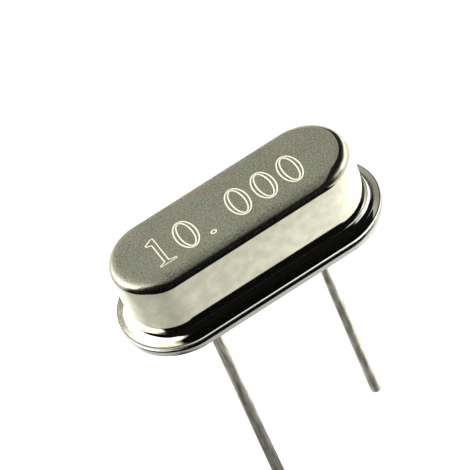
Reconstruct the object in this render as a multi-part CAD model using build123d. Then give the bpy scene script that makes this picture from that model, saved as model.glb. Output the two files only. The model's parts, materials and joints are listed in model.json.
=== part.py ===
from build123d import *
import os

# Quartz crystal unit in a low welded can, in millimetres.
# The origin is the middle of the base's underside, which sits on the board.
# +X runs along the can, +Z points up to its top, and the leads point down.

# Can: a rounded-end cap, and the reach past it of the flanges of cap and base
cap_length = 10.10
cap_width = 3.54
flange_end_reach = 0.475
flange_side_reach = 0.555
can_height = 3.43
cap_sheet = 0.20
cap_top_radius = 0.48
cap_bend_radius = 0.28
cap_rim_bevel = 0.04
cap_seam_bevel = 0.10

# Base: a flange, and a plateau that stands inside the cap
base_flange_thickness = 0.34
base_seam_radius = 0.12
base_foot_bevel = 0.05
plateau_height = 0.45
plateau_edge_bevel = 0.12
plateau_clearance = 0.10
recess_depth = 0.25
recess_rim = 1.10
recess_edge_bevel = 0.08

# Leads: a pin through the glass with a flat head inside, tinned below the seat
lead_pitch = 4.88
pin_diameter = 0.43
tin_thickness = 0.01
lead_length_left = 11.50
lead_length_right = 10.00
lead_tip_bevel = 0.06
pin_head_diameter = 0.84
pin_head_thickness = 0.12
pin_head_bevel = 0.03
pin_head_lift = 0.16

# Glass seals: the glass creeps along the pin at both ends
seal_diameter = 1.40
seal_creep = 0.10
seal_sag = 0.03

# Support clips: a foot on the pin, a sloping riser, a shelf and an end stop.
# Foot and shelf share the way from the pin to the stop, and the riser takes the rest.
clip_thickness = 0.10
clip_width = 0.90
clip_bend_radius = 0.12
clip_foot_inside = 0.42
clip_shelf_height = 0.85
clip_end_clearance = 0.61
clip_foot_share = 0.21
clip_shelf_share = 0.54
clip_stop_height = 0.42
clip_hole_diameter = 0.40

# Quartz strip and its metal films
blank_width = 1.80
blank_thickness = 0.14
blank_end_gap = 0.03
blank_bevel = 0.04
film_thickness = 0.02
film_pad_length = 4.40
film_pad_width = 1.40
film_tab_width = 0.60
film_pad_corner = 0.25

# Adhesive: a flattened drop over each end of the strip
adhesive_length = 0.90
adhesive_width = 1.00
adhesive_rise = 0.20

# Sizes, heights and places that follow from the sizes above
flange_length = cap_length + 2 * flange_end_reach
flange_width = cap_width + 2 * flange_side_reach
cap_flange_top = base_flange_thickness + cap_sheet
plateau_top = base_flange_thickness + plateau_height
plateau_inset = cap_sheet + plateau_clearance
plateau_length = cap_length - 2 * plateau_inset
plateau_width = cap_width - 2 * plateau_inset
pin_top = plateau_top + pin_head_lift + pin_head_thickness
lead_x = lead_pitch / 2
shelf_top = pin_top + clip_shelf_height + clip_thickness
stop_face = cap_length / 2 - cap_sheet - clip_end_clearance - clip_thickness
clip_span = stop_face - lead_x
clip_shelf_length = clip_shelf_share * clip_span
riser_start = lead_x + clip_foot_share * clip_span
shelf_start = stop_face - clip_shelf_length
blank_length = 2 * (stop_face - clip_bend_radius - blank_end_gap - film_thickness)
blank_bottom = shelf_top + film_thickness
blank_top = blank_bottom + blank_thickness
blank_middle = blank_bottom + blank_thickness / 2
adhesive_middle = stop_face - adhesive_length / 2


def slab(length, width, bottom, top):
    """A plate with round ends, between two heights."""
    return Pos(0, 0, bottom) * extrude(SlotOverall(length, width), amount=top - bottom)


def top_edges(solid):
    """The highest level edges of a solid."""
    return solid.edges().group_by(Axis.Z)[-1]


def level_face(solid, height):
    """The level face that lies nearest to a height."""
    level = solid.faces().filter_by(Plane.XY)
    return level.sort_by(lambda face: abs(face.center().Z - height))[0]


def cap():
    """A drawn shell of even thickness, with its flange turned out at the foot."""
    can = slab(cap_length, cap_width, base_flange_thickness, can_height)
    can = fillet(top_edges(can), cap_top_radius)
    shell = can + slab(flange_length, flange_width, base_flange_thickness, cap_flange_top)
    shell = fillet(level_face(shell, cap_flange_top).inner_wires()[0].edges(), cap_bend_radius)
    shell = chamfer(level_face(shell, cap_flange_top).outer_wire().edges(), cap_rim_bevel)
    inside = slab(
        cap_length - 2 * cap_sheet,
        cap_width - 2 * cap_sheet,
        base_flange_thickness,
        can_height - cap_sheet,
    )
    shell = shell - fillet(top_edges(inside), cap_top_radius - cap_sheet)
    mouth = level_face(shell, base_flange_thickness).inner_wires()[0]
    shell = fillet(mouth.edges(), cap_bend_radius + cap_sheet)
    rim = level_face(shell, base_flange_thickness).outer_wire()
    return chamfer(rim.edges(), cap_seam_bevel)


def base():
    """A stamped plate: flange, plateau inside the cap, recess below and two seal holes."""
    plateau = slab(plateau_length, plateau_width, 0, plateau_top)
    plateau = chamfer(top_edges(plateau), plateau_edge_bevel)
    plate = slab(flange_length, flange_width, 0, base_flange_thickness)
    plate = fillet(top_edges(plate), base_seam_radius)
    plate = chamfer(plate.edges().group_by(Axis.Z)[0], base_foot_bevel)
    recess = slab(
        flange_length - 2 * recess_rim,
        flange_width - 2 * recess_rim,
        0,
        recess_depth,
    )
    recess = chamfer(top_edges(recess), recess_edge_bevel)
    seal_hole = extrude(Circle(seal_diameter / 2), amount=plateau_top)
    holes = [Pos(side * lead_x, 0, 0) * seal_hole for side in (-1, 1)]
    return plateau + plate - recess - holes


def glass_seal(side):
    """Glass fused in a hole of the base, drawn along the pin on both faces."""
    pin_radius = pin_diameter / 2
    seal_radius = seal_diameter / 2
    middle_radius = (pin_radius + seal_radius) / 2
    lower_rim = (seal_radius, 0, recess_depth)
    lower_dip = (middle_radius, 0, recess_depth + seal_sag)
    lower_pin = (pin_radius, 0, recess_depth - seal_creep)
    upper_rim = (seal_radius, 0, plateau_top)
    upper_pin = (pin_radius, 0, plateau_top + seal_creep)
    section = Wire([
        ThreePointArc(lower_pin, lower_dip, lower_rim),
        Line(lower_rim, upper_rim),
        Line(upper_rim, upper_pin),
        Line(upper_pin, lower_pin),
    ])
    return Pos(side * lead_x, 0, 0) * revolve(make_face(section), Axis.Z)


def lead(side, length):
    """A wire with a flat head inside the can and a tinned length below the base."""
    wire = extrude(Circle(pin_diameter / 2), amount=pin_top - pin_head_thickness)
    head = extrude(Circle(pin_head_diameter / 2), amount=pin_head_thickness)
    head = Pos(0, 0, pin_top - pin_head_thickness) * chamfer(head.edges(), pin_head_bevel)
    tinned = extrude(Circle(pin_diameter / 2 + tin_thickness), amount=-length)
    tinned = chamfer(tinned.edges().group_by(Axis.Z)[0], lead_tip_bevel)
    return Pos(side * lead_x, 0, 0) * (wire + head + tinned)


def support_clip(side):
    """A bent strip from the pin's head to the shelf under one end of the quartz."""
    foot = pin_top + clip_thickness
    path = FilletPolyline(
        (lead_x - clip_foot_inside, 0, foot),
        (riser_start, 0, foot),
        (shelf_start, 0, shelf_top),
        (stop_face, 0, shelf_top),
        (stop_face, 0, shelf_top + clip_stop_height),
        radius=clip_bend_radius,
    )
    strip = make_brake_formed(clip_thickness, clip_width, path, side=Side.LEFT)
    strip = Pos(0, -strip.center(CenterOf.BOUNDING_BOX).Y, 0) * strip
    shelf_middle = shelf_start + clip_shelf_length / 2
    hole = extrude(Circle(clip_hole_diameter / 2), amount=clip_thickness)
    strip = strip - Pos(shelf_middle, 0, shelf_top - clip_thickness) * hole
    return strip if side > 0 else Rot(0, 0, 180) * strip


def quartz_blank():
    """A thin strip with bevelled long edges, held a film's thickness above the shelves."""
    strip = extrude(Rectangle(blank_length, blank_width), amount=blank_thickness)
    strip = chamfer(strip.edges().filter_by(Axis.X), blank_bevel)
    return Pos(0, 0, blank_bottom) * strip


def electrode():
    """The upper film: a pad, a tab to the left end, and a foot folded round under that end."""
    pad = fillet(Rectangle(film_pad_length, film_pad_width).vertices(), film_pad_corner)
    end = -blank_length / 2 - film_thickness
    align = (Align.MIN, Align.CENTER)
    tab = Pos(end, 0) * Rectangle(-end, film_tab_width, align=align)
    foot = Pos(end, 0) * Rectangle(clip_shelf_length, film_tab_width, align=align)
    fold = Pos(end, 0) * Rectangle(film_thickness, film_tab_width, align=align)
    upper = Pos(0, 0, blank_top) * extrude(pad + tab, amount=film_thickness)
    around = Pos(0, 0, blank_bottom) * extrude(fold, amount=blank_thickness)
    lower = Pos(0, 0, shelf_top) * extrude(foot, amount=film_thickness)
    return upper + around + lower


def lower_electrode():
    """The same film on the other face, turned half round the strip's own middle."""
    film = Pos(0, 0, -blank_middle) * electrode()
    return Pos(0, 0, blank_middle) * Rot(0, 180, 0) * film


def adhesive(side):
    """A flattened drop over one end of the strip, down to the clip's shelf."""
    drop_height = film_thickness + blank_thickness + film_thickness + adhesive_rise
    drop = scale(Sphere(1), (adhesive_length / 2, adhesive_width / 2, drop_height))
    drop = Pos(side * adhesive_middle, 0, shelf_top) * drop
    room = Pos(0, 0, shelf_top) * extrude(
        Rectangle(2 * stop_face, adhesive_width), amount=drop_height
    )
    drop = drop & room
    return drop - quartz_blank() - electrode() - lower_electrode() - support_clip(side)


os.makedirs("parts", exist_ok=True)
nodes = {
    "cap": cap(),
    "base": base(),
    "glass_seal_left": glass_seal(-1),
    "glass_seal_right": glass_seal(1),
    "lead_left": lead(-1, lead_length_left),
    "lead_right": lead(1, lead_length_right),
    "support_clip_left": support_clip(-1),
    "support_clip_right": support_clip(1),
    "quartz_blank": quartz_blank(),
    "electrode_top": electrode(),
    "electrode_bottom": lower_electrode(),
    "adhesive_left": adhesive(-1),
    "adhesive_right": adhesive(1),
}
for name, solid in nodes.items():
    export_step(solid, f"parts/{name}.step")
    print(name, [round(value, 3) for value in solid.bounding_box().size])
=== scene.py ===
# %% [markdown]
# # A quartz crystal unit in a low metal can
#
# The part is a drawn metal can with a flange, welded to a stamped base, with two tinned leads held
# in glass. A quartz strip on two clips is sealed inside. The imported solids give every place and
# size, and could be shown as they are. But bright metal shows each facet of a coarse mesh, so this
# lesson rebuilds the four pieces that show most as fine meshes, and gives every piece its finish.

# %% Load the frame
import json
import math
import bmesh
import bpy
from mathutils import Matrix, Vector


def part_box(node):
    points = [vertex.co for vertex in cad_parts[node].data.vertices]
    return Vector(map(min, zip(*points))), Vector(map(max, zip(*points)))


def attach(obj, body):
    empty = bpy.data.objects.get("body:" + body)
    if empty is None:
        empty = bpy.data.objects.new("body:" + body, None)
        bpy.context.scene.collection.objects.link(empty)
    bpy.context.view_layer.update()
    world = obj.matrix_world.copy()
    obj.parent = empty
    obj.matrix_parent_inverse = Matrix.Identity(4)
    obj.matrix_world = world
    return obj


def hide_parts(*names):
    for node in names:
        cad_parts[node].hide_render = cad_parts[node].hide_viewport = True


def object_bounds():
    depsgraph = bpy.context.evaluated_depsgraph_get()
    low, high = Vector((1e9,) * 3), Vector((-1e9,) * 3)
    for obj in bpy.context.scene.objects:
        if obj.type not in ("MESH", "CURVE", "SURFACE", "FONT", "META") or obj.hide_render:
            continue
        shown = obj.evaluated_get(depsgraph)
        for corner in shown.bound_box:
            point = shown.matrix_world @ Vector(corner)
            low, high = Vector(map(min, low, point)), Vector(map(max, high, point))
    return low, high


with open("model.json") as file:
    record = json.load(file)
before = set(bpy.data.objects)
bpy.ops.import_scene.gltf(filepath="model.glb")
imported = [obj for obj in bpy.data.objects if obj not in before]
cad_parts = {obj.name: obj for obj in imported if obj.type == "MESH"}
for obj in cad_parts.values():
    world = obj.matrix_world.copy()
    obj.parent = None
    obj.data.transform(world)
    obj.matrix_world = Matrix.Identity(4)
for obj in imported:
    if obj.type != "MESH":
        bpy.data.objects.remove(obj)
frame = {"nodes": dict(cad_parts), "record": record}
cad_low, cad_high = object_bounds()
MM = 0.001
print("nodes", sorted(frame["nodes"]))

# %% [markdown]
# ## Sizes
#
# A drawing of such a can gives its outline, its heights and its radii. They could all be typed in,
# but then the meshes and the solids might drift apart. So the flange and the heights are measured on
# the solids. What a box can't tell is written once, as the size that the solids were built with.

# %% Sizes of the can
WALL = (10.10 * MM, 3.54 * MM)
SHEET = 0.20 * MM

cap_low, cap_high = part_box("cap")
base_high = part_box("base")[1]
flange = (cap_high.x - cap_low.x, cap_high.y - cap_low.y)
seam = cap_low.z
flange_top = seam + SHEET
can_top = cap_high.z
plateau_top = base_high.z


def in_mm(lengths):
    """Lengths in millimetres, rounded for printing."""
    return [round(length / MM, 3) for length in lengths]


print("flange", in_mm(flange), "can and plateau top", in_mm((can_top, plateau_top)))

# %% [markdown]
# ## Picking by place
#
# By hand, you would click an edge and press a key. A script has nothing to click with, and its
# operators act on whatever is selected. So each step starts with nothing selected, and points, edges
# and faces are then picked by a test on where they lie, which stays right when a size changes.

# %% Selection helpers
NEAR = 0.002 * MM


def deselect_all():
    """Leave edit mode, with nothing selected."""
    if bpy.context.mode != "OBJECT":
        bpy.ops.object.mode_set(mode="OBJECT")
    bpy.ops.object.select_all(action="DESELECT")


def work_on(piece):
    """Make one piece the only selected and active one."""
    deselect_all()
    piece.select_set(True)
    bpy.context.view_layer.objects.active = piece


def edit(piece):
    """Open one piece in edit mode, with nothing selected in it."""
    work_on(piece)
    bpy.ops.object.mode_set(mode="EDIT")
    bpy.ops.mesh.select_all(action="DESELECT")


def near(first, second):
    """Whether two lengths count as equal."""
    return abs(first - second) < NEAR


def pick(piece, kind, test):
    """In edit mode, select the verts, edges or faces whose points all pass a test."""
    bpy.ops.mesh.select_mode(type=kind)
    bpy.ops.mesh.select_all(action="DESELECT")
    mesh = bmesh.from_edit_mesh(piece.data)
    chosen = 0
    for item in {"VERT": mesh.verts, "EDGE": mesh.edges, "FACE": mesh.faces}[kind]:
        points = [item.co] if kind == "VERT" else [vert.co for vert in item.verts]
        if all(test(point) for point in points):
            item.select_set(True)
            chosen += 1
    bmesh.update_edit_mesh(piece.data)
    return chosen


print("places within", in_mm([NEAR]), "mm count as equal")

# %% [markdown]
# ## Round-ended outlines
#
# Can, flange, plateau and recess all have straight sides and half-round ends. Such an outline could
# be drawn as a curve. Here it is a circle whose two halves are moved apart, because then every
# outline has the same count of points, and two of them can be bridged with clean four-sided faces.

# %% Outlines
RING_POINTS = 192


def round_ended(length, width, height):
    """A ring with half-round ends, its straight sides exactly one width apart."""
    half_step = math.pi / RING_POINTS
    deselect_all()
    bpy.ops.mesh.primitive_circle_add(
        vertices=RING_POINTS,
        radius=width / 2 / math.cos(half_step),
        location=(0, 0, height),
        rotation=(0, 0, half_step),
    )
    ring = bpy.context.object
    bpy.ops.object.transform_apply(location=True, rotation=True, scale=True)
    edit(ring)
    for side in (-1, 1):
        pick(ring, "VERT", lambda point: point.x * side > 0)
        bpy.ops.transform.translate(value=(side * (length - width) / 2, 0, 0))
    bpy.ops.object.mode_set(mode="OBJECT")
    return ring


def on_outline(length, width, height):
    """A test for points that lie on one round-ended outline."""
    reach = (length - width) / 2

    def test(point):
        from_middle = math.hypot(max(abs(point.x) - reach, 0), point.y)
        return near(from_middle, width / 2) and near(point.z, height)

    return test


print("each outline has", RING_POINTS, "points")

# %% [markdown]
# ## Skins and rounded edges
#
# Pressed metal has no sharp edges, only smaller and larger radii. A skin between outlines could be
# lofted from curves. Here each outline is bridged to the next, as when you select two loops and fill
# between them, because the faces then run in long even rows, which mirror without ripples. The edge
# along an outline is bevelled in several steps afterwards.

# %% Skin and bevel helpers
ROUND_PROFILE = 0.5


def join(rings, name):
    """Make one named object of several rings."""
    deselect_all()
    for ring in rings:
        ring.select_set(True)
    bpy.context.view_layer.objects.active = rings[0]
    bpy.ops.object.join()
    whole = bpy.context.object
    whole.name = name
    whole.data.name = name
    return whole


def skin(name, outlines, closed_ends):
    """Join rings, bridge each to the next, and close the given ends with a face."""
    piece = join([round_ended(*outline) for outline in outlines], name)
    edit(piece)
    for first, second in zip(outlines, outlines[1:]):
        on_first = on_outline(*first)
        on_second = on_outline(*second)
        pick(piece, "EDGE", lambda point: on_first(point) or on_second(point))
        bpy.ops.mesh.bridge_edge_loops()
    for end in closed_ends:
        pick(piece, "EDGE", on_outline(*outlines[end]))
        bpy.ops.mesh.edge_face_add()
    bpy.ops.mesh.select_all(action="SELECT")
    bpy.ops.mesh.normals_make_consistent(inside=False)
    bpy.ops.object.mode_set(mode="OBJECT")
    print(name, "starts with", len(piece.data.polygons), "faces")
    return piece


def round_edge(piece, outline, radius, steps):
    """Round off the edge that runs along one outline."""
    edit(piece)
    count = pick(piece, "EDGE", on_outline(*outline))
    bpy.ops.mesh.bevel(
        offset=radius,
        offset_type="OFFSET",
        segments=steps,
        profile=ROUND_PROFILE,
        affect="EDGES",
    )
    bpy.ops.object.mode_set(mode="OBJECT")
    print(piece.name, "rounded", count, "edges")


# %% [markdown]
# ## The cap
#
# The real cap is deep drawn from one thin sheet, so it has one thickness all over, a soft shoulder
# round its top and a flange turned out at its foot. A block could be extruded and hollowed, but that
# would lose the even sheet at the bends. Here the outer skin is three outlines bridged together, its
# two bends are bevelled, and Solidify then gives the sheet its thickness inwards.

# %% Cap: outer skin and bends
TOP_RADIUS = 0.48 * MM
BEND_RADIUS = 0.28 * MM
BEND_STEPS = 24

cap = skin("cap_shell", [(*flange, flange_top), (*WALL, flange_top), (*WALL, can_top)], [-1])
round_edge(cap, (*WALL, can_top), TOP_RADIUS, BEND_STEPS)
round_edge(cap, (*WALL, flange_top), BEND_RADIUS, BEND_STEPS)

# %% Cap: sheet thickness and rim
INWARDS = -1
RIM_RADIUS = 0.04 * MM
CAP_SEAM_RADIUS = 0.10 * MM
RIM_STEPS = 6

work_on(cap)
thickness = cap.modifiers.new("sheet", "SOLIDIFY")
thickness.thickness = SHEET
thickness.offset = INWARDS
thickness.use_even_offset = True
bpy.ops.object.modifier_apply(modifier="sheet")
round_edge(cap, (*flange, flange_top), RIM_RADIUS, RIM_STEPS)
round_edge(cap, (*flange, seam), CAP_SEAM_RADIUS, RIM_STEPS)
print("cap size", in_mm(cap.dimensions))

# %% [markdown]
# ## The marking
#
# A plain number is scribed into the top in thin outlines. A text object would give the numerals of
# its font, and paint would only lie on the metal. Here each line of a numeral is a closed loop: it is
# turned into a curve with a round section, made a mesh, and cut out of the cap's top, so that the
# strokes are real grooves. The loops lie in a row of cells, counted from the one after the point. The
# top face is inset before the cuts, so that they leave the faces of the shoulder alone.

# %% Marking: from a loop to a tube
STROKE_RADIUS = 0.040 * MM
STROKE_DEPTH = 0.016 * MM
TUBE_STEPS = 6
CELL_PITCH = 1.135 * MM
MARKING_X = 0.37 * MM
MARKING_Y = -0.24 * MM


def groove_tube(loop, cell):
    """Give a flat loop a round section, and move it to its cell just above the top."""
    work_on(loop)
    bpy.ops.object.convert(target="CURVE")
    curve = bpy.context.object.data
    curve.bevel_depth = STROKE_RADIUS
    curve.bevel_resolution = TUBE_STEPS
    curve.fill_mode = "FULL"
    bpy.ops.object.convert(target="MESH")
    tube = bpy.context.object
    height = can_top + STROKE_RADIUS - STROKE_DEPTH
    tube.location = (MARKING_X + cell * CELL_PITCH, MARKING_Y, height)
    bpy.ops.object.transform_apply(location=True, rotation=True, scale=True)
    return tube


print("grooves are", in_mm([STROKE_DEPTH]), "mm deep")

# %% Marking: loops of the numerals
DIGIT_HEIGHT = 1.46 * MM
DIGIT_WIDTH = 0.84 * MM
OVAL_POINTS = 72
INNER_WIDTH_SHARE = 0.62
INNER_HEIGHT_SHARE = 0.90
ONE_SHARES = [
    (0.07, 0.50), (0.07, -0.41), (0.40, -0.46), (0.40, -0.50), (-0.40, -0.50),
    (-0.40, -0.46), (-0.14, -0.41), (-0.14, 0.30), (-0.38, 0.36), (-0.38, 0.40), (-0.04, 0.50),
]


def oval(width, height, cell, shift=(0, 0)):
    """The groove of an oval: a ring one unit across, resized and moved."""
    deselect_all()
    bpy.ops.mesh.primitive_circle_add(vertices=OVAL_POINTS, radius=1 / 2)
    ring = bpy.context.object
    edit(ring)
    bpy.ops.mesh.select_all(action="SELECT")
    bpy.ops.transform.resize(value=(width, height, 1), center_override=(0, 0, 0))
    bpy.ops.transform.translate(value=(*shift, 0))
    bpy.ops.object.mode_set(mode="OBJECT")
    return groove_tube(ring, cell)


def numeral_one(cell):
    """The groove round a numeral one, its corners given as shares of its width and height."""
    deselect_all()
    bpy.ops.mesh.primitive_circle_add(vertices=len(ONE_SHARES), radius=DIGIT_HEIGHT / 2)
    ring = bpy.context.object
    for vert, (x_share, y_share) in zip(ring.data.vertices, ONE_SHARES):
        vert.co = (x_share * DIGIT_WIDTH, y_share * DIGIT_HEIGHT, 0)
    return groove_tube(ring, cell)


def numeral_zero(cell):
    """The two grooves of an outlined zero."""
    outer = oval(DIGIT_WIDTH, DIGIT_HEIGHT, cell)
    inner = oval(INNER_WIDTH_SHARE * DIGIT_WIDTH, INNER_HEIGHT_SHARE * DIGIT_HEIGHT, cell)
    return [outer, inner]


print("a numeral is", in_mm((DIGIT_WIDTH, DIGIT_HEIGHT)), "mm")

# %% Marking: lay out the number
ONE_CELL = -3
ZERO_CELLS = (-2, 0, 1, 2)
POINT_CELL = -1
POINT_SIZE = (0.20 * MM, 0.16 * MM)
POINT_SHIFT = (-0.27 * MM, -0.43 * DIGIT_HEIGHT)

grooves = [numeral_one(ONE_CELL)]
for cell in ZERO_CELLS:
    grooves += numeral_zero(cell)
grooves.append(oval(*POINT_SIZE, POINT_CELL, POINT_SHIFT))
print("marking has", len(grooves), "grooves")

# %% Marking: cut the grooves
TOP_INSET = 0.02 * MM


def cut_out(piece, tool):
    """Cut a closed tool out of a piece, and throw the tool away."""
    work_on(piece)
    cut = piece.modifiers.new("cut", "BOOLEAN")
    cut.object = tool
    cut.operation = "DIFFERENCE"
    cut.solver = "MANIFOLD"
    bpy.ops.object.modifier_apply(modifier="cut")
    bpy.data.objects.remove(tool)


edit(cap)
pick(cap, "FACE", lambda point: near(point.z, can_top))
bpy.ops.mesh.inset(thickness=TOP_INSET)
bpy.ops.object.mode_set(mode="OBJECT")
for groove in grooves:
    cut_out(cap, groove)
print("cap has", len(cap.data.polygons), "faces with its marking")

# %% [markdown]
# ## The base
#
# The base is stamped from thicker strip: a flange that meets the cap's flange, a plateau that centres
# the cap, a shallow recess below and two holes for the glass. It could be put together from plates,
# but then faces would lie inside it. Here six outlines, in order from the recess to the plateau, make
# the whole skin, and the two holes are cut through it.

# %% Base: skin and edges
BASE_SEAM_RADIUS = 0.12 * MM
FOOT_RADIUS = 0.05 * MM
RECESS_RADIUS = 0.08 * MM
PLATEAU_RADIUS = 0.12 * MM
RECESS_RIM = 1.10 * MM
RECESS_DEPTH = 0.25 * MM
PLATEAU_INSET = 0.30 * MM
BASE_SEAM_STEPS = 8
FOOT_STEPS = 5
PLATEAU_STEPS = 6

recess = tuple(side - 2 * RECESS_RIM for side in flange)
plateau = tuple(side - 2 * PLATEAU_INSET for side in WALL)
base_outlines = [
    (*recess, RECESS_DEPTH),
    (*recess, 0),
    (*flange, 0),
    (*flange, seam),
    (*plateau, seam),
    (*plateau, plateau_top),
]
base = skin("base_plate", base_outlines, [0, -1])
round_edge(base, (*flange, seam), BASE_SEAM_RADIUS, BASE_SEAM_STEPS)
round_edge(base, (*flange, 0), FOOT_RADIUS, FOOT_STEPS)
round_edge(base, (*recess, RECESS_DEPTH), RECESS_RADIUS, FOOT_STEPS)
round_edge(base, (*plateau, plateau_top), PLATEAU_RADIUS, PLATEAU_STEPS)

# %% Base: seal holes
LEAD_PITCH = 4.88 * MM
LEAD_X = LEAD_PITCH / 2
SEAL_DIAMETER = 1.40 * MM
SEAL_POINTS = 96
DRILL_LENGTH = 4 * plateau_top

for side in (-1, 1):
    deselect_all()
    bpy.ops.mesh.primitive_cylinder_add(
        vertices=SEAL_POINTS,
        radius=SEAL_DIAMETER / 2,
        depth=DRILL_LENGTH,
        location=(side * LEAD_X, 0, 0),
    )
    drill = bpy.context.object
    bpy.ops.object.transform_apply(location=True, rotation=True, scale=True)
    cut_out(base, drill)
print("base has", len(base.data.polygons), "faces")

# %% [markdown]
# ## The leads
#
# Each lead is one wire: bare where the glass grips it, headed flat inside the can, and dipped in tin
# below the base. It could be three cylinders set on each other, but a wire has no inner faces. So one
# cylinder is the start: its top face is inset and extruded up to the pin and the head, and its cut
# tip is rounded. Rings along the tinned length keep its faces from being long slivers.

# %% Leads: pin, head, tip and rings
TIN = 0.01 * MM
PIN_RADIUS = 0.215 * MM
HEAD_RADIUS = 0.42 * MM
HEAD_THICKNESS = 0.12 * MM
TIP_RADIUS = 0.06 * MM
TIP_STEPS = 6
RING_COUNT = 60


def extrude_up(height):
    """Extrude the selected faces straight up."""
    bpy.ops.mesh.extrude_region_move(TRANSFORM_OT_translate={"value": (0, 0, height)})


def add_head(lead, axis_x, top):
    """Draw the bare pin and its flat head out of the wire's upper face."""
    pick(lead, "FACE", lambda point: near(point.z, 0))
    bpy.ops.mesh.inset(thickness=TIN)
    extrude_up(top - HEAD_THICKNESS)
    extrude_up(0)
    grow = HEAD_RADIUS / PIN_RADIUS
    bpy.ops.transform.resize(value=(grow, grow, 1), center_override=(axis_x, 0, top))
    extrude_up(HEAD_THICKNESS)


def finish_tip(lead, axis_x, length):
    """Round the cut tip, and divide the tinned length with rings."""
    pick(lead, "EDGE", lambda point: near(point.z, -length))
    bpy.ops.mesh.bevel(offset=TIP_RADIUS, segments=TIP_STEPS, affect="EDGES")
    for step in range(1, RING_COUNT):
        bpy.ops.mesh.select_all(action="SELECT")
        height = -length + TIP_RADIUS + (length - TIP_RADIUS) * step / RING_COUNT
        bpy.ops.mesh.bisect(plane_co=(axis_x, 0, height), plane_no=(0, 0, 1))


print("tinned wire is", in_mm([2 * (PIN_RADIUS + TIN)]), "mm thick")

# %% Leads: the two wires
WIRE_POINTS = 64
LEAD_SIDES = {"lead_left": -1, "lead_right": 1}


def make_lead(name, side):
    """One lead, as long as its solid reaches below the base."""
    low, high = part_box(name)
    axis_x = side * LEAD_X
    length = -low.z
    deselect_all()
    bpy.ops.mesh.primitive_cylinder_add(
        vertices=WIRE_POINTS,
        radius=PIN_RADIUS + TIN,
        depth=length,
        location=(axis_x, 0, -length / 2),
    )
    lead = bpy.context.object
    lead.name = name + "_wire"
    lead.data.name = lead.name
    bpy.ops.object.transform_apply(location=True, rotation=True, scale=True)
    edit(lead)
    add_head(lead, axis_x, high.z)
    finish_tip(lead, axis_x, length)
    bpy.ops.object.mode_set(mode="OBJECT")
    print(lead.name, "has", len(lead.data.polygons), "faces")
    return lead


leads = {name: make_lead(name, side) for name, side in LEAD_SIDES.items()}

# %% [markdown]
# ## Smooth shading
#
# Metal bends are smooth, and the edges of a head or a hole are not. Shading could be set face by face.
# Here it goes by angle: faces that meet at a small angle shade smoothly, and sharper edges stay sharp.
# Weighted normals then let the large flat faces keep their own direction, so that the straight walls
# mirror without a bulge.

# %% Shading
MERGE_DISTANCE = 0.0002 * MM
SMOOTH_ANGLE = math.radians(32)

for piece in (cap, base, *leads.values()):
    edit(piece)
    bpy.ops.mesh.select_all(action="SELECT")
    bpy.ops.mesh.remove_doubles(threshold=MERGE_DISTANCE)
    bpy.ops.object.mode_set(mode="OBJECT")
    bpy.ops.object.shade_smooth_by_angle(angle=SMOOTH_ANGLE)
    weighted = piece.modifiers.new("weighted", "WEIGHTED_NORMAL")
    weighted.keep_sharp = True
    bpy.ops.object.modifier_apply(modifier="weighted")
    print(piece.name, len(piece.data.vertices), "points")

# %% [markdown]
# ## Shader maths
#
# A finish is a net of nodes, and the masks in it are sums and products of other values. They could be
# wired one node at a time. One small class wraps a socket instead, so that a mask is written as an
# ordinary expression. Its node method adds any other node: settings first, then the values or links
# of its sockets.

# %% The socket class
def feed(socket, value):
    """Link a wrapped socket to a socket, or set that socket to a plain value."""
    if isinstance(value, Value):
        value.tree.links.new(value.socket, socket)
    else:
        socket.default_value = value


class Value:
    """A socket of a node tree, or the tree alone where no socket is given."""

    def __init__(self, tree, socket=None):
        self.tree = tree
        self.socket = socket

    def node(self, kind, settings, inputs, output=0):
        """Add a node, and give one of its outputs."""
        made = self.tree.nodes.new(kind)
        for key, setting in settings.items():
            setattr(made, key, setting)
        for key, value in inputs.items():
            feed(made.inputs[key], value)
        return Value(self.tree, made.outputs[output])

    def math(self, operation, *values):
        """Add a Math node on some values."""
        return self.node("ShaderNodeMath", {"operation": operation}, dict(enumerate(values)))

    def __add__(self, other):
        return self.math("ADD", self, other)

    __radd__ = __add__

    def __sub__(self, other):
        return self.math("SUBTRACT", self, other)

    def __rsub__(self, other):
        return self.math("SUBTRACT", other, self)

    def __mul__(self, other):
        return self.math("MULTIPLY", self, other)

    __rmul__ = __mul__

    def __truediv__(self, other):
        return self.math("DIVIDE", self, other)

    def __rtruediv__(self, other):
        return self.math("DIVIDE", other, self)

    def size(self):
        """The value without its sign."""
        return self.math("ABSOLUTE", self)

    def at_least(self, other):
        """The larger of two values."""
        return self.math("MAXIMUM", self, other)

    def step(self, start, end):
        """A soft step from 0 at start to 1 at end."""
        return self.node(
            "ShaderNodeMapRange",
            {"interpolation_type": "SMOOTHSTEP", "clamp": True},
            {"Value": self, "From Min": start, "From Max": end},
        )

    def mix(self, first, second):
        """Two colours mixed, with this value as the factor."""
        return self.node(
            "ShaderNodeMix", {"data_type": "RGBA"}, {0: self, 6: first, 7: second}, output=2
        )

    def scaled(self, factor):
        """A colour or a place, with all its channels times one factor."""
        return self.node("ShaderNodeVectorMath", {"operation": "SCALE"}, {0: self, "Scale": factor})


print("masks can be written with + - * / on sockets")

# %% [markdown]
# ## One finish
#
# A finish is a material with a Principled shader. Its patterns could follow a UV map, but a pressed
# can has no seam to cut one along. Object coordinates need none, and in millimetres they read like
# the drawing, so masks are given by the place on the part.

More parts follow.
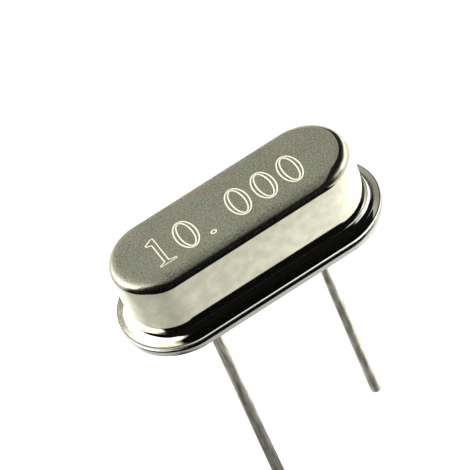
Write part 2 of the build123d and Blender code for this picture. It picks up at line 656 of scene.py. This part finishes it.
# %% The finish class
class Finish:
    """A material with millimetre coordinates and one Principled shader."""

    def __init__(self, name):
        self.material = bpy.data.materials.new(name)
        self.material.use_nodes = True
        tree = self.material.node_tree
        self.shader = tree.nodes["Principled BSDF"]
        self.nodes = Value(tree)
        self.mm = self.nodes.node("ShaderNodeTexCoord", {}, {}, "Object").scaled(1 / MM)
        self.x, self.y, self.z = (
            self.nodes.node("ShaderNodeSeparateXYZ", {}, {0: self.mm}, axis) for axis in "XYZ"
        )

    def noise(self, per_mm, detail, stretch=(1, 1, 1)):
        """Noise from 0 to 1 with a count of grains in a millimetre."""
        place = self.nodes.node(
            "ShaderNodeVectorMath", {"operation": "MULTIPLY"}, {0: self.mm, 1: stretch}
        )
        return self.nodes.node(
            "ShaderNodeTexNoise",
            {"normalize": True},
            {"Vector": place, "Scale": per_mm, "Detail": detail},
        )

    def bump(self, height, distance_mm, strength):
        """A bump for the Normal socket."""
        return self.nodes.node(
            "ShaderNodeBump",
            {},
            {"Height": height, "Distance": distance_mm * MM, "Strength": strength},
        )

    def set(self, **inputs):
        """Feed the shader's sockets, named with _ for each space."""
        for key, value in inputs.items():
            feed(self.shader.inputs[key.replace("_", " ")], value)

    def put_on(self, *pieces):
        """Make this the only material of some pieces."""
        for piece in pieces:
            piece.data.materials.clear()
            piece.data.materials.append(self.material)
        nodes = len(self.material.node_tree.nodes)
        print(self.material.name, "with", nodes, "nodes is on", [piece.name for piece in pieces])


# %% [markdown]
# ## Finish of the cap
#
# The sheet is nickel plated. Its top is blasted to a fine satin grain, its walls and bends keep the
# bright drawn skin, and the scribed strokes are pale and rough. A painted reflection makes the skin
# darker at the left end and brighter to the right and low on the wall. The flange is rubbed at its two
# ends, with a painted highlight at the front of the left end, and its trimmed edge is dark. These
# could be five materials on five sets of faces. But the blasting fades out over the shoulder, so one
# material mixes them, with a mask by place for each.

# %% Cap finish: colours
NICKEL = (0.52, 0.507, 0.40, 1)
NICKEL_DARK = (0.37, 0.362, 0.285, 1)
NICKEL_WARM = (0.52, 0.487, 0.39, 1)
NICKEL_FOOT = (0.56, 0.553, 0.50, 1)
BLASTED = (0.238, 0.246, 0.168, 1)
BLASTED_DARK = (0.066, 0.070, 0.047, 1)
BLASTED_WARM = (0.265, 0.232, 0.172, 1)
SCRIBED = (0.84, 0.81, 0.65, 1)
RUBBED = (0.52, 0.50, 0.375, 1)
# A painted highlight, paler than any nickel, for the front of the flange's left end.
PAINTED_HIGHLIGHT = (0.86, 0.84, 0.74, 1)
TRIMMED = (0.10, 0.096, 0.080, 1)
print("nickel", NICKEL, "blasted", BLASTED)

# %% Cap finish: masks of the top
# Each pair is the start and the end of a soft step, in millimetres. A satin limit is a depth below
# the top, and how much higher it lies at the left and at the right end.
LEFT_END = (-3.2, -4.2)
RIGHT_END = (3.0, 3.9)
SATIN_FOOT = (0.22, 0.05, 0.19)
SATIN_HEAD = (0.06, 0.045, 0.059)
GROOVE_START = (0.001, 0.006)
GROOVE_END = (0.045, 0.06)
MARKING_HALF_WIDTH = (1.10, 1.14)
MARKING_HALF_LENGTH = (3.68, 3.72)
top_mm = can_top / MM


def satin_height(finish, limit):
    """A height on the shoulder where the satin starts or ends."""
    depth, left_lift, right_lift = limit
    at_left = finish.x.step(*LEFT_END)
    at_right = finish.x.step(*RIGHT_END)
    return top_mm - depth + left_lift * at_left + right_lift * at_right


def blasted_mask(finish):
    """1 on the top, fading to 0 over the shoulder."""
    foot = satin_height(finish, SATIN_FOOT)
    head = satin_height(finish, SATIN_HEAD)
    return ((finish.z - foot) / (head - foot)).step(0, 1)


def scribed_mask(finish):
    """1 in the grooves of the marking."""
    depth = top_mm - finish.z
    in_groove = depth.step(*GROOVE_START) * (1 - depth.step(*GROOVE_END))
    beside = finish.y.size().step(*MARKING_HALF_WIDTH)
    beyond = finish.x.size().step(*MARKING_HALF_LENGTH)
    return in_groove * ((1 - beside) * (1 - beyond))


print("satin ends", SATIN_FOOT[0], "mm below the top at", round(top_mm, 3), "mm")

# %% Cap finish: masks of the flange
# The trim's pairs are a distance in from the rim and a drop below the flange's upper face. The rub's
# are a height above that face, more at the right end, and a distance along the can.
TRIM_INSET = (0.055, 0.035)
TRIM_DROP = (0.045, 0.025)
RUB_HEIGHT = (0.03, 0.01)
RUB_HEIGHT_RIGHT = (0.06, 0.03)
RUB_ALONG = (4.6, 5.2)
RUB_LEAST = 0.5
FRONT_SIDE = (0.4, -0.6)
flange_mm = flange_top / MM
rim_mm = flange[1] / 2 / MM
reach_mm = (flange[0] - flange[1]) / 2 / MM


def trimmed_mask(finish):
    """1 on the cut edge round the flange's upper face."""
    past_reach = (finish.x.size() - reach_mm).at_least(0.0)
    squares = past_reach * past_reach + finish.y * finish.y
    from_middle = finish.nodes.math("SQRT", squares)
    at_rim = from_middle.step(*(rim_mm - inset for inset in TRIM_INSET))
    return at_rim * finish.z.step(*(flange_mm - drop for drop in TRIM_DROP))


def rubbed_mask(finish, grain):
    """Up to 1, with a grain, on the flange's upper face at its two ends."""
    at_right = finish.x.step(*RIGHT_END)
    heights = zip(RUB_HEIGHT, RUB_HEIGHT_RIGHT)
    start, end = (flange_mm + lift + right_lift * at_right for lift, right_lift in heights)
    on_flange = finish.z.step(start, end)
    return finish.x.size().step(*RUB_ALONG) * on_flange * (RUB_LEAST + (1 - RUB_LEAST) * grain)


print("flange is", round(flange_mm, 3), "mm high,", round(rim_mm, 3), "mm from middle line to rim")

# %% Cap finish: colour of the drawn skin
# A step of the painted reflection is a gain, and the two places along the can, in millimetres,
# between which it comes.
CLOUD = {"per_mm": 0.6, "detail": 3.0}
SMUDGE = {"per_mm": 2.2, "detail": 4.0}
SMUDGE_CONTRAST = (0.3, 0.7)
SMUDGE_SHARE = 0.65
TINT = {"per_mm": 1.3, "detail": 2.0}
TINT_CONTRAST = (0.42, 0.68)
FOOT_HEIGHT = (1.15, 0.75)
# The plating's colour is scaled by a painted reflection: darker at the left end, brighter to the right
# and low on the wall.
PAINTED_GAIN_LEAST = 0.80
PAINTED_GAIN_STEPS = ((0.09, (-3.5, -2.9)), (0.10, (-1.0, 2.5)))
PAINTED_GAIN_LOW = 0.09
PAINTED_GAIN_LOW_HEIGHT = (2.9, 2.1)


def painted_reflection_gain(finish):
    """A painted reflection on the plating: brighter to the right, and brighter below the shoulder."""
    total = PAINTED_GAIN_LEAST
    for gain, along in PAINTED_GAIN_STEPS:
        total = total + gain * finish.x.step(*along)
    return total + PAINTED_GAIN_LOW * finish.z.step(*PAINTED_GAIN_LOW_HEIGHT)


def drawn_colour(finish, cloud, tint):
    """Nickel with clouds and smudges, paler at the foot, and scaled by a painted reflection."""
    smudge = finish.noise(**SMUDGE).step(*SMUDGE_CONTRAST)
    mottle = cloud * (1 - SMUDGE_SHARE) + smudge * SMUDGE_SHARE
    colour = mottle.mix(NICKEL_DARK, tint.mix(NICKEL, NICKEL_WARM))
    colour = finish.z.step(*FOOT_HEIGHT).mix(colour, NICKEL_FOOT)
    # Painted reflection: the colour is made brighter where the wall would mirror more light.
    return colour.scaled(painted_reflection_gain(finish))


print("plating's clouds are", round(1 / CLOUD["per_mm"], 2), "mm wide")

# %% Cap finish: roughness
SATIN_ROUGHNESS = 0.46
SATIN_SPREAD = 0.14
DRAWN = {"per_mm": 5.0, "detail": 3.0, "stretch": (1, 1, 0.12)}
BRIGHT_ROUGHNESS = 0.045
DRAWN_SPREAD = 0.05
SHOULDER_DEPTH = (0.42, 0.22)
SHOULDER_ROUGHNESS = 0.15
RUBBED_ROUGHNESS = 0.30
RUBBED_ROUGHNESS_RIGHT = 0.15
RUBBED_ROUGHNESS_FRONT_LEFT = 0.25
SCRIBED_ROUGHNESS = 0.6


def drawn_roughness(finish, cloud):
    """The bright skin, drawn in faint upright lines, and duller on the shoulder."""
    drawn = finish.noise(**DRAWN)
    shoulder = (top_mm - finish.z).step(*SHOULDER_DEPTH)
    return BRIGHT_ROUGHNESS + DRAWN_SPREAD * drawn * cloud + SHOULDER_ROUGHNESS * shoulder


def rubbed_roughness(finish, front_left):
    """What rubbing adds, most at the right end and at the left end's front."""
    at_right = finish.x.step(*RIGHT_END)
    at_ends = RUBBED_ROUGHNESS_RIGHT * at_right + RUBBED_ROUGHNESS_FRONT_LEFT * front_left
    return RUBBED_ROUGHNESS + at_ends


print("roughness is", BRIGHT_ROUGHNESS, "on the walls and", SATIN_ROUGHNESS, "on the top")

# %% Cap finish: all together
GRAIN = {"per_mm": 16.0, "detail": 2.0}
GRAIN_CONTRAST = (0.30, 0.70)
GRAIN_MIDDLE = 0.5
GRAIN_SHARE = 0.7
FINE_GRAIN = {"per_mm": 36.0, "detail": 2.0}
FINE_SHARE = 0.8
BLASTED_LOSS = 0.72
SCRIBED_LOSS = 0.1
GRAIN_BUMP = {"distance_mm": 0.010, "strength": 1.0}


def can_metal():
    """The cap's nickel: drawn, blasted, scribed, rubbed and trimmed, with painted reflection and
    highlight.
    """
    finish = Finish("can_metal")
    blasted = blasted_mask(finish)
    scribed = scribed_mask(finish)
    grain = finish.noise(**GRAIN).step(*GRAIN_CONTRAST)
    cloud = finish.noise(**CLOUD)
    tint = finish.noise(**TINT).step(*TINT_CONTRAST)
    rubbed = rubbed_mask(finish, grain)
    front_left = finish.y.step(*FRONT_SIDE) * finish.x.step(*LEFT_END)

    pitted = grain * GRAIN_SHARE + cloud * (1 - GRAIN_SHARE)
    dull = pitted.mix(BLASTED_DARK, tint.mix(BLASTED, BLASTED_WARM))
    colour = blasted.mix(drawn_colour(finish, cloud, tint), dull)
    colour = scribed.mix(colour, SCRIBED)
    # The front of the left end of the rubbed flange gets the painted highlight.
    colour = rubbed.mix(colour, front_left.mix(RUBBED, PAINTED_HIGHLIGHT))
    colour = trimmed_mask(finish).mix(colour, TRIMMED)

    satin = SATIN_ROUGHNESS + SATIN_SPREAD * (grain - GRAIN_MIDDLE)
    bright = drawn_roughness(finish, cloud) + rubbed_roughness(finish, front_left) * rubbed
    roughness = satin * blasted + bright * (1 - blasted)
    roughness = roughness * (1 - scribed) + SCRIBED_ROUGHNESS * scribed
    pits = (grain + finish.noise(**FINE_GRAIN) * FINE_SHARE) * blasted
    finish.set(
        Base_Color=colour,
        Metallic=1 - BLASTED_LOSS * blasted - SCRIBED_LOSS * scribed,
        Roughness=roughness,
        Normal=finish.bump(pits, **GRAIN_BUMP),
    )
    return finish


can_metal().put_on(cap)

# %% [markdown]
# ## Finish of the base
#
# The base has the same plating on thicker strip, a little darker and less bright than the drawn cap.
# It could share the cap's material, but none of the cap's masks falls on it. A plain plating with wide
# clouds and a fine grain is enough, because only its edge shows from above.

# %% Base finish
BASE_DARK = (0.28, 0.275, 0.245, 1)
BASE_LIGHT = (0.38, 0.37, 0.33, 1)
BASE_CLOUD = {"per_mm": 0.8, "detail": 3.0}
BASE_GRAIN = {"per_mm": 14.0, "detail": 3.0}
BASE_ROUGHNESS = 0.12
BASE_SPREAD = 0.10
BASE_BUMP = {"distance_mm": 0.001, "strength": 0.3}


def base_metal():
    """Stamped strip with a plain plating."""
    finish = Finish("base_metal")
    cloud = finish.noise(**BASE_CLOUD)
    grain = finish.noise(**BASE_GRAIN)
    finish.set(
        Base_Color=cloud.mix(BASE_DARK, BASE_LIGHT),
        Metallic=1.0,
        Roughness=BASE_ROUGHNESS + BASE_SPREAD * grain * cloud,
        Normal=finish.bump(grain, **BASE_BUMP),
    )
    return finish


base_metal().put_on(base)

# %% [markdown]
# ## Finish of the leads
#
# The wires were dipped in tin, which ran down them and set in uneven streaks. Displacing the mesh
# would make them lumpy, and they are too thin for that. Noise that is stretched along the wire gives
# the streaks their colour, their roughness and a slight bump.

# %% Lead finish
TIN_DARK = (0.34, 0.326, 0.265, 1)
TIN_LIGHT = (0.66, 0.645, 0.56, 1)
STREAK = {"per_mm": 7.0, "detail": 3.0, "stretch": (1, 1, 0.16)}
STREAK_CONTRAST = (0.32, 0.68)
TIN_GRAIN = {"per_mm": 16.0, "detail": 2.0}
TIN_GRAIN_SHARE = 0.3
TIN_ROUGHNESS = 0.28
TIN_SPREAD = 0.14
TIN_BUMP = {"distance_mm": 0.005, "strength": 0.6}


def lead_tin():
    """Tin with streaks along the wire."""
    finish = Finish("lead_tin")
    streak = finish.noise(**STREAK).step(*STREAK_CONTRAST)
    ripple = streak + finish.noise(**TIN_GRAIN) * TIN_GRAIN_SHARE
    finish.set(
        Base_Color=streak.mix(TIN_DARK, TIN_LIGHT),
        Metallic=1.0,
        Roughness=TIN_ROUGHNESS + TIN_SPREAD * streak,
        Normal=finish.bump(ripple, **TIN_BUMP),
    )
    return finish


lead_tin().put_on(*leads.values())

# %% [markdown]
# ## Finishes of the seals and of the pieces inside
#
# Glass holds the leads, and metal strip, quartz, silver films and silver adhesive are sealed in the
# can. Their solids have the right shape already, so they stay, and only get a finish. Each could be
# one flat colour, but every real surface is a little uneven, so a cloud of noise varies the colour,
# the roughness and the bump. One function makes them all, and the record's slots say which goes where.

# %% Finishes of the other nodes
CLOUD_DETAIL = 3.0
CLOUD_STRENGTH = 0.4


def plain_finish(name, dark, light, per_mm, roughness, metallic, bump_mm):
    """A finish that varies between two colours and two roughnesses."""
    finish = Finish(name)
    cloud = finish.noise(per_mm, CLOUD_DETAIL)
    smoothest, roughest = roughness
    finish.set(
        Base_Color=cloud.mix((*dark, 1), (*light, 1)),
        Metallic=metallic,
        Roughness=smoothest + (roughest - smoothest) * cloud,
        Normal=finish.bump(cloud, bump_mm, CLOUD_STRENGTH),
    )
    return finish


OTHER_FINISHES = {
    "seal_glass": {
        "dark": (0.02, 0.05, 0.045), "light": (0.06, 0.11, 0.10),
        "per_mm": 6, "roughness": (0.08, 0.2), "metallic": 0.0, "bump_mm": 0.004,
    },
    "clip_metal": {
        "dark": (0.56, 0.54, 0.50), "light": (0.68, 0.66, 0.61),
        "per_mm": 5, "roughness": (0.15, 0.3), "metallic": 1.0, "bump_mm": 0.002,
    },
    "quartz": {
        "dark": (0.80, 0.83, 0.84), "light": (0.90, 0.92, 0.93),
        "per_mm": 8, "roughness": (0.25, 0.4), "metallic": 0.0, "bump_mm": 0.002,
    },
    "silver_film": {
        "dark": (0.80, 0.79, 0.75), "light": (0.90, 0.89, 0.86),
        "per_mm": 9, "roughness": (0.2, 0.35), "metallic": 1.0, "bump_mm": 0.001,
    },
    "silver_adhesive": {
        "dark": (0.42, 0.41, 0.39), "light": (0.58, 0.57, 0.55),
        "per_mm": 14, "roughness": (0.5, 0.7), "metallic": 0.6, "bump_mm": 0.01,
    },
}
slots = {row["node"]: row["material_slot"] for row in frame["record"]["subparts"]}
for slot, look in OTHER_FINISHES.items():
    solids = [solid for node, solid in frame["nodes"].items() if slots[node] == slot]
    plain_finish(slot, **look).put_on(*solids)

# %% [markdown]
# ## Riding on the frame
#
# The four new meshes stand for four solids, which are still needed for weight and collision. Deleting
# the solids would lose that. So each mesh rides on the part's one body and hides the solid that it
# stands for.

# %% Ride and replace
built = {"cap": cap, "base": base, **leads}
for node, piece in built.items():
    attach(piece, "root")
    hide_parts(node)
print("replaced", {node: piece.name for node, piece in built.items()})

# %% [markdown]
# ## Floor and cards
#
# The part stands over a plain white floor, which its longer lead just touches. Bright metal mirrors
# what lies round it, so a bare floor would turn the lower bends and the leads white. Dark bands could
# be painted on the metal, but they would be wrong from any other side. As a photographer does, cards
# are laid out instead: black cloth in front and at the left, and grey cards beside the leads. Only
# mirrors see them, so the floor itself stays white.

# %% Floor
FLOOR_SIZE = 1.2
floor_z = cad_low.z


def paint(name, grey):
    """A plain dull stage paint."""
    made = bpy.data.materials.new(name)
    made.use_nodes = True
    shader = made.node_tree.nodes["Principled BSDF"]
    shader.inputs["Base Color"].default_value = (grey, grey, grey, 1)
    shader.inputs["Roughness"].default_value = 1.0
    shader.inputs["Specular IOR Level"].default_value = 0.0
    return made


deselect_all()
bpy.ops.mesh.primitive_plane_add(size=FLOOR_SIZE, location=(0, 0, floor_z))
floor = bpy.context.object
floor.name = "floor"
floor.data.materials.append(paint("floor_white", 1.0))
print("floor lies at", in_mm([floor_z]), "mm")

# %% Cards
CARD_LIFT = 0.2 * MM
CLOTH = 0.01
CARD = 0.22
PALE_CARD = 0.40
CLOTH_LEFT = -250
CLOTH_EDGE = -17.5
CLOTH_STEP = -60
CARD_SPLIT = -0.94
CARD_EDGE = -3.6
CARD_STEP = -5.6
CARD_FRONT = -10.5

# For each card its grey, and its left front and right back corners on the floor, in millimetres
FLOOR_CARDS = {
    "floor_cloth_front": (CLOTH, (CLOTH_LEFT, CLOTH_STEP), (16, CLOTH_EDGE)),
    "floor_cloth_far": (CLOTH, (CLOTH_LEFT, -230), (90, CLOTH_STEP)),
    "floor_cloth_left": (CLOTH, (CLOTH_LEFT, CLOTH_EDGE), (-32, 12)),
    "lead_card_left": (CARD, (-12, CARD_FRONT), (CARD_SPLIT, 3.0)),
    "lead_card_middle": (PALE_CARD, (CARD_SPLIT, CARD_EDGE), (0.9, 1.0)),
    "lead_card_tip": (CARD, (0.9, CARD_EDGE), (3.7, -0.3)),
    "lead_card_right": (CARD, (CARD_SPLIT, CARD_STEP), (4.8, CARD_EDGE)),
    "lead_card_front": (CARD, (CARD_SPLIT, CARD_FRONT), (6.6, CARD_STEP)),
}


def for_mirrors_only(piece):
    """Hide a stage piece from the camera and from dull surfaces, and let it cast no shadow."""
    piece.visible_camera = False
    piece.visible_diffuse = False
    piece.visible_shadow = False
    piece.visible_transmission = False


def floor_card(name, grey, low, high):
    """A card just above the floor between two corners."""
    deselect_all()
    middle = [(start + end) / 2 * MM for start, end in zip(low, high)]
    bpy.ops.mesh.primitive_plane_add(size=1, location=(*middle, floor_z + CARD_LIFT))
    made = bpy.context.object
    made.name = name
    made.scale = ((high[0] - low[0]) * MM, (high[1] - low[1]) * MM, 1)
    made.data.materials.append(paint(name, grey))
    for_mirrors_only(made)


for name, card in FLOOR_CARDS.items():
    floor_card(name, *card)
print("laid out", len(FLOOR_CARDS), "cards")

# %% [markdown]
# ## The tent
#
# What the walls and the shoulder mirror stands round the part. Separate panels could be built and
# aimed, but their edges would all have to be soft. A round tent is one sphere whose paint glows by
# direction: a white panel at the left, a grey one behind, a low one at the right, a small one at the
# right front, and black cloth elsewhere. Only mirrors see it, so it lights no dull surface.

# %% Tent: its panels
# All angles are in degrees. A turn is counted from the back to the left, and a rise from the horizon.
LEFT_TURN = (17, 136)
LEFT_FOOT = 14
LEFT_HEAD = 80
LEFT_DROP = 20
LEFT_DROP_TURN = (64, 92)
LEFT_LIFT = 38
LEFT_LIFT_TURN = (86, 130)
REAR_TURN = (-34, 20)
REAR_RISE = (-10, 78)
RIGHT_TURN = (-118, -50)
RIGHT_RISE = (-10, 20)
RIGHT_SLOPE = 16
RIGHT_SLOPE_TURN = (-82, -48)
HOOK_TURN = (-141, -100)
HOOK_RISE = (4, 27)
VERY_SOFT = 9
SOFT = 8
FIRM = 6
CRISP = 5


def window(value, ends, soft):
    """1 between two ends, with soft edges."""
    low, high = ends
    return value.step(low - soft, low + soft) * (1 - value.step(high - soft, high + soft))


def left_panel(turn, rise):
    """The white panel, its foot lower behind and higher in front."""
    lowered = LEFT_DROP * (1 - turn.step(*LEFT_DROP_TURN))
    lifted = LEFT_LIFT * turn.step(*LEFT_LIFT_TURN)
    above_foot = (rise + lowered - lifted).step(LEFT_FOOT - CRISP, LEFT_FOOT + CRISP)
    below_head = 1 - rise.step(LEFT_HEAD - SOFT, LEFT_HEAD + SOFT)
    return window(turn, LEFT_TURN, VERY_SOFT) * above_foot * below_head


def right_panel(turn, rise):
    """The low panel at the right, which slopes down towards the back."""
    sloped = rise + RIGHT_SLOPE * turn.step(*RIGHT_SLOPE_TURN)
    return window(turn, RIGHT_TURN, SOFT) * window(sloped, RIGHT_RISE, CRISP)


print("left panel is", LEFT_TURN[1] - LEFT_TURN[0], "degrees wide")

# %% Tent: its paint and its sphere
TENT_RADIUS = 0.25
TENT_SEGMENTS = 64
TENT_RINGS = 32
LEFT_GLOW = 4.8
REAR_GLOW = 0.62
RIGHT_GLOW = 2.6
HOOK_GLOW = 1.3
CLOTH_GLOW = 0.009
DEGREES = 180 / math.pi


def tent_paint():
    """Black cloth and panels, by the direction from the middle of the tent."""
    finish = Finish("tent")
    length = finish.nodes.node(
        "ShaderNodeVectorMath", {"operation": "LENGTH"}, {0: finish.mm}, "Value"
    )
    rise = finish.nodes.math("ARCSINE", finish.z / length) * DEGREES
    turn = finish.nodes.math("ARCTAN2", 0 - finish.x, finish.y) * DEGREES
    left = left_panel(turn, rise)
    rear = window(turn, REAR_TURN, SOFT) * window(rise, REAR_RISE, SOFT)
    hook = window(turn, HOOK_TURN, FIRM) * window(rise, HOOK_RISE, CRISP)
    glow = CLOTH_GLOW + LEFT_GLOW * left + REAR_GLOW * rear * (1 - left)
    glow = glow + RIGHT_GLOW * right_panel(turn, rise) + HOOK_GLOW * hook
    colour = finish.nodes.node("ShaderNodeCombineColor", {}, {0: glow, 1: glow, 2: glow})
    finish.set(Base_Color=(0, 0, 0, 1), Roughness=1.0, Specular_IOR_Level=0.0)
    finish.set(Emission_Color=colour, Emission_Strength=1.0)
    return finish


deselect_all()
bpy.ops.mesh.primitive_uv_sphere_add(
    segments=TENT_SEGMENTS, ring_count=TENT_RINGS, radius=TENT_RADIUS
)
tent = bpy.context.object
tent.name = "tent"
tent_paint().put_on(tent)
for_mirrors_only(tent)

# %% [markdown]
# ## Sky and lamps
#
# An even sky lights the part from all sides. A white background could come from more light, but that
# would bleach the metal, so rays from the camera, from mirrors and through glass meet a sky at full
# white, while it lights the scene at about half of that. A round key lamp behind on the right throws
# the part's shadow forwards. Four small spots shine straight down beside the part and lift the floor
# there.

# %% Sky
SKY_LIGHT = 0.52
WHITE_RAYS = ("Is Camera Ray", "Is Glossy Ray", "Is Transmission Ray")

world = bpy.data.worlds.new("studio")
bpy.context.scene.world = world
world.use_nodes = True
sky = world.node_tree.nodes["Background"]
sky.inputs["Color"].default_value = (1, 1, 1, 1)
sky_nodes = Value(world.node_tree)
camera_ray, glossy_ray, clear_ray = (
    sky_nodes.node("ShaderNodeLightPath", {}, {}, ray) for ray in WHITE_RAYS
)
seen = camera_ray.at_least(glossy_ray).at_least(clear_ray)
feed(sky.inputs["Strength"], SKY_LIGHT + (1 - SKY_LIGHT) * seen)
print("sky lights at", SKY_LIGHT, "and shows at 1")

# %% Lamps
KEY_PLACE = (142, 166, 196)
KEY_SIZE = 0.18
KEY_WATTS = 1.16
SPOT_HEIGHT = 40
SPOT_BLEND = 0.5
SPOT_SIZE = 0.004

# For each spot its place over the floor in millimetres, its spread in degrees and its watts
SPOTS = {
    "lamp_right": ((21, -4), 44, 0.075),
    "lamp_end": ((17, -1), 28, 0.05),
    "lamp_left": ((-11, 13), 24, 0.08),
    "lamp_front": ((0.8, -14.4), 22, 0.011),
}


def lamp(name, kind, place, target, watts):
    """A lamp aimed at a place, hidden from mirrors."""
    deselect_all()
    bpy.ops.object.light_add(type=kind, location=[side * MM for side in place])
    made = bpy.context.object
    made.name = name
    made.data.energy = watts
    aim = Vector(target) - Vector(place)
    made.rotation_mode = "QUATERNION"
    made.rotation_quaternion = aim.to_track_quat("-Z", "Y")
    made.visible_glossy = False
    return made


key = lamp("lamp_key", "AREA", KEY_PLACE, (0, 0, 0), KEY_WATTS)
key.data.shape = "DISK"
key.data.size = KEY_SIZE
for name, (place, spread, watts) in SPOTS.items():
    spot = lamp(name, "SPOT", (*place, SPOT_HEIGHT), (*place, 0), watts)
    spot.data.spot_size = math.radians(spread)
    spot.data.spot_blend = SPOT_BLEND
    spot.data.shadow_soft_size = SPOT_SIZE
print("lamps", [key.name, *SPOTS])

# %% [markdown]
# ## Camera
#
# The photograph looks down on the can from the front, with the picture turned. A camera could be set
# by eye, but mirrored bands move with every degree. So its angles, distance and lens were fitted to
# points on the can's outline, and are written here as they came out. The fit counts the lens in
# pixels of the picture's longer side, so it is turned into millimetres of the sensor.

# %% Camera: where it stands and how it is turned
CAMERA_AZIMUTH = math.radians(-11.414)
CAMERA_ELEVATION = math.radians(46.331)
CAMERA_ROLL = math.radians(-24.106)
CAMERA_DISTANCE = 156.19 * MM
CAMERA_RIGHT = -0.6666 * MM
CAMERA_UP = 0.9917 * MM

back = Vector((
    math.sin(CAMERA_AZIMUTH) * math.cos(CAMERA_ELEVATION),
    -math.cos(CAMERA_AZIMUTH) * math.cos(CAMERA_ELEVATION),
    math.sin(CAMERA_ELEVATION),
))
level = Vector((math.cos(CAMERA_AZIMUTH), math.sin(CAMERA_AZIMUTH), 0))
upright = back.cross(level)
right = level * math.cos(CAMERA_ROLL) + upright * math.sin(CAMERA_ROLL)
up = upright * math.cos(CAMERA_ROLL) - level * math.sin(CAMERA_ROLL)
turned = Matrix((right, up, back)).transposed().to_4x4()
place = back * CAMERA_DISTANCE + right * CAMERA_RIGHT + up * CAMERA_UP
print("camera stands at", in_mm(place), "mm")

# %% Camera: its lens
FOCAL_PIXELS = 4194.37
IMAGE_PIXELS = 470
SENSOR_WIDTH = 36
CLIP_START = 0.01

lens = bpy.data.cameras.new("camera")
lens.sensor_width = SENSOR_WIDTH
lens.lens = FOCAL_PIXELS * SENSOR_WIDTH / IMAGE_PIXELS
lens.clip_start = CLIP_START
camera = bpy.data.objects.new("camera", lens)
camera.matrix_world = Matrix.Translation(place) @ turned
bpy.context.scene.collection.objects.link(camera)
bpy.context.scene.camera = camera
bpy.context.scene.view_settings.view_transform = "Standard"
print("lens is", round(lens.lens, 1), "mm long")
